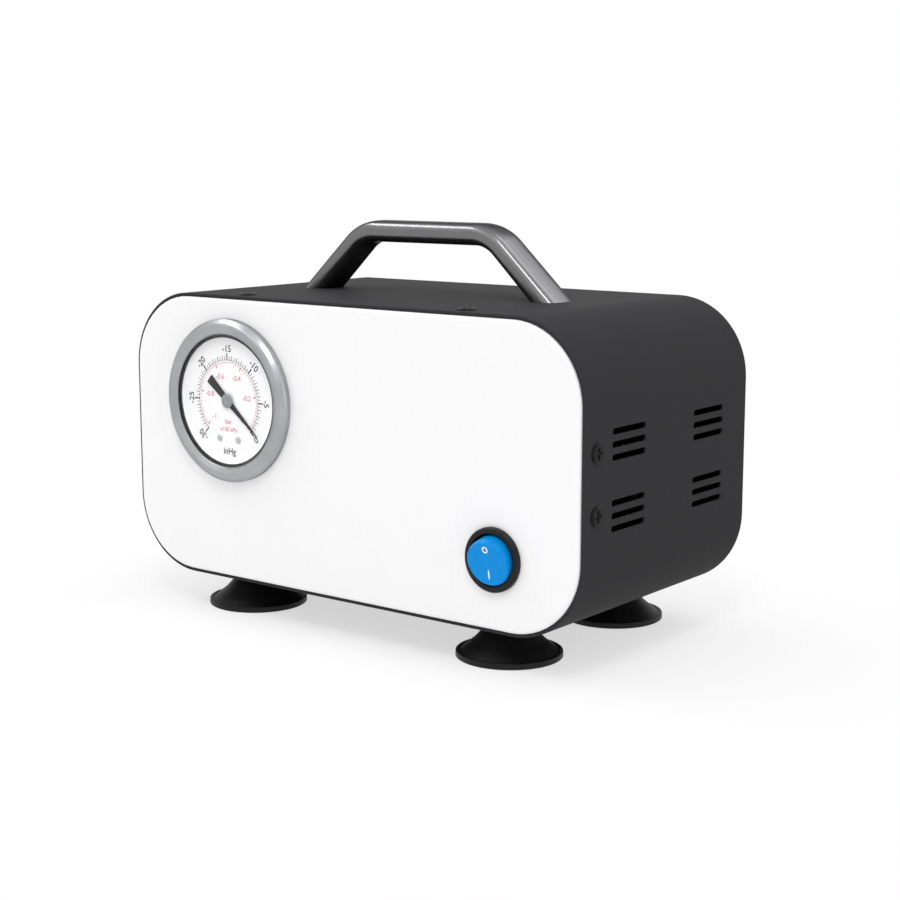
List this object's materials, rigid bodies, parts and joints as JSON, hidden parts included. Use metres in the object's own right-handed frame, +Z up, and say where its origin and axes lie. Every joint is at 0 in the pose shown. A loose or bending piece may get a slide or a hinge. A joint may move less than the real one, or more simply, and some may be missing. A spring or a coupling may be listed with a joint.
{
  "type": "diaphragm vacuum pump",
  "caption": "Small bench diaphragm vacuum pump: rounded sleeve case with side vents, white front with a vacuum gauge and a round rocker switch, bow handle and suction feet.",
  "frame": {"origin": "middle of the pump's bounding box at the height of the surface that its feet stand on", "axes": "+X to the right of someone who faces the front, -Y out of the front, +Z up"},
  "size_m": [0.2194, 0.1373, 0.1527],
  "materials": {
    "shell_paint": "dark grey powder coat",
    "panel_white": "white semi-gloss ABS",
    "black_screw": "black oxide",
    "steel_plate": "zinc-plated sheet",
    "foot_rubber": "black rubber",
    "steel_fastener": "zinc-plated",
    "handle_metal": "satin",
    "bezel_steel": "spun stainless steel",
    "gauge_glass": "clear",
    "gauge_black": "black ring",
    "dial_white": "white enamel with printed scale",
    "pointer_black": "matt black",
    "movement_brass": "plain",
    "switch_black": "black nylon",
    "rocker_blue": "blue polycarbonate",
    "inlet_black": "black nylon",
    "fuse_ceramic": "white with plated caps",
    "port_brass": "nickel-plated brass",
    "manifold_plastic": "black acetal",
    "hose_silicone": "milky silicone",
    "pump_aluminium": "as cast",
    "motor_steel": "black paint",
    "magnet_ferrite": "sintered",
    "bearing_steel": "polished",
    "rotor_steel": "laminated",
    "fan_plastic": "black nylon",
    "diaphragm_rubber": "fabric-reinforced rubber",
    "gasket_rubber": "plain",
    "board_green": "glass epoxy",
    "component_dark": "plain"
  },
  "bodies": {
    "root": {"shell": "shell_paint", "front_panel": "panel_white", "rear_panel": "panel_white", "panel_screws": "black_screw", "base_plate": "steel_plate", "suction_feet": "foot_rubber", "studs": "steel_fastener", "nuts": "steel_fastener", "large_screws": "steel_fastener", "small_screws": "steel_fastener", "handle": "handle_metal", "gauge_case": "bezel_steel", "gauge_bezel": "bezel_steel", "gauge_lens": "gauge_glass", "gauge_ring": "gauge_black", "gauge_dial": "dial_white", "gauge_dial_screws": "steel_fastener", "gauge_movement": "movement_brass", "gauge_socket": "movement_brass", "bourdon_tube": "movement_brass", "switch_body": "switch_black", "switch_terminals": "movement_brass", "inlet_socket": "inlet_black", "inlet_pins": "movement_brass", "port_fittings": "port_brass", "exhaust_nut": "port_brass", "manifold": "manifold_plastic", "hoses": "hose_silicone", "isolators": "foot_rubber", "pump_bracket": "steel_plate", "crankcase": "pump_aluminium", "crank_cover": "pump_aluminium", "motor_can": "motor_steel", "motor_magnets": "magnet_ferrite", "motor_caps": "pump_aluminium", "bearing_outer_rings": "bearing_steel", "diaphragm": "diaphragm_rubber", "valve_plate": "pump_aluminium", "umbrella_valves": "gasket_rubber", "head_gasket": "gasket_rubber", "head_cover": "pump_aluminium", "head_bolts": "steel_fastener", "board_standoffs": "steel_fastener", "power_board": "board_green", "board_components": "component_dark"},
    "rocker": {"rocker_button": "rocker_blue"},
    "pointer": {"gauge_pointer": "pointer_black", "gauge_arbor": "movement_brass"},
    "sector": {"gauge_sector": "movement_brass"},
    "drawer": {"fuse_drawer": "inlet_black", "fuse": "fuse_ceramic"},
    "rotor": {"motor_shaft": "bearing_steel", "motor_rotor": "rotor_steel", "motor_fan": "fan_plastic", "eccentric": "rotor_steel", "bearing_inner_rings": "bearing_steel"},
    "rod": {"rod_bearing_ring": "bearing_steel", "connecting_rod": "pump_aluminium", "clamp_disc": "pump_aluminium"}
  },
  "joints": [
    {"name": "rocker_tilt", "type": "hinge", "parent": "root", "child": "rocker", "pos_m": [0.0713, -0.06335, 0.0406], "axis": [-1, 0, 0], "range_deg": [0, 25]},
    {"name": "pointer_turn", "type": "hinge", "parent": "root", "child": "pointer", "pos_m": [-0.0547, -0.06395, 0.0849], "axis": [0, -1, 0], "range_deg": [0, 270], "stiffness_Nm_per_rad": 0.0005, "springref_deg": -17.19},
    {"name": "sector_turn", "type": "hinge", "parent": "root", "child": "sector", "pos_m": [-0.0547, -0.05825, 0.0695], "axis": [0, -1, 0], "range_deg": [-27, 0]},
    {"name": "motor_spin", "type": "hinge", "parent": "root", "child": "rotor", "pos_m": [0.006, 0.00975, 0.0582], "axis": [1, 0, 0], "continuous": true},
    {"name": "rod_orbit", "type": "hinge", "parent": "rotor", "child": "rod", "pos_m": [0.006, 0.00975, 0.0557], "axis": [1, 0, 0], "continuous": true, "deforming": ["diaphragm"]},
    {"name": "drawer_slide", "type": "slide", "parent": "root", "child": "drawer", "axis": [0, 1, 0], "range_m": [0, 0.016]}
  ],
  "couplings": [
    {"joint": "rod_orbit", "follows": "motor_spin", "ratio": -1},
    {"joint": "sector_turn", "follows": "pointer_turn", "ratio": -0.1}
  ]
}
